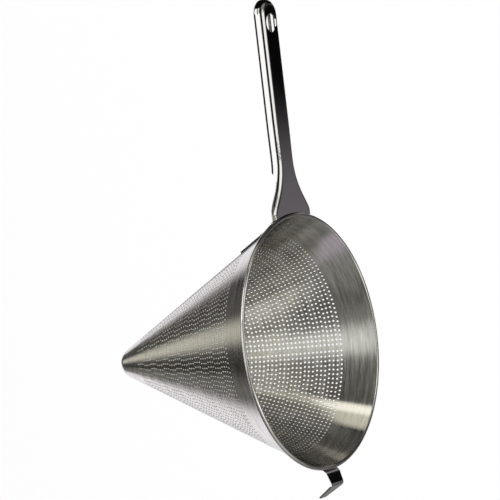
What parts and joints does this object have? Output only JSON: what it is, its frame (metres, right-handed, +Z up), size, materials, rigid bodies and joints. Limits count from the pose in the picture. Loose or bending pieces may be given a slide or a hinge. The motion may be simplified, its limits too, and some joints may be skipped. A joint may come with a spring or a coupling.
{
  "type": "chinois strainer",
  "caption": "Conical perforated steel strainer with a rolled rim, a channel handle with a hanging hole, and a bent hook that rests on a pot.",
  "frame": {"origin": "centre of the round mouth, level with the top of the rim", "axes": "+Z up along the cone's axis, out of the mouth; +X along the part, from the handle towards the hook; -Y is the side seen in the picture"},
  "size_m": [0.3877, 0.2, 0.1851],
  "materials": {
    "cone_sheet": "brushed",
    "weld_metal": "satin",
    "wire_steel": "satin",
    "handle_sheet": "polished",
    "hook_sheet": "polished"
  },
  "bodies": {
    "root": {"strainer_cone": "cone_sheet", "side_seam_weld": "weld_metal", "rim_wire": "wire_steel", "handle": "handle_sheet", "handle_spot_welds": "weld_metal", "hook": "hook_sheet", "hook_spot_welds": "weld_metal"}
  },
  "joints": []
}
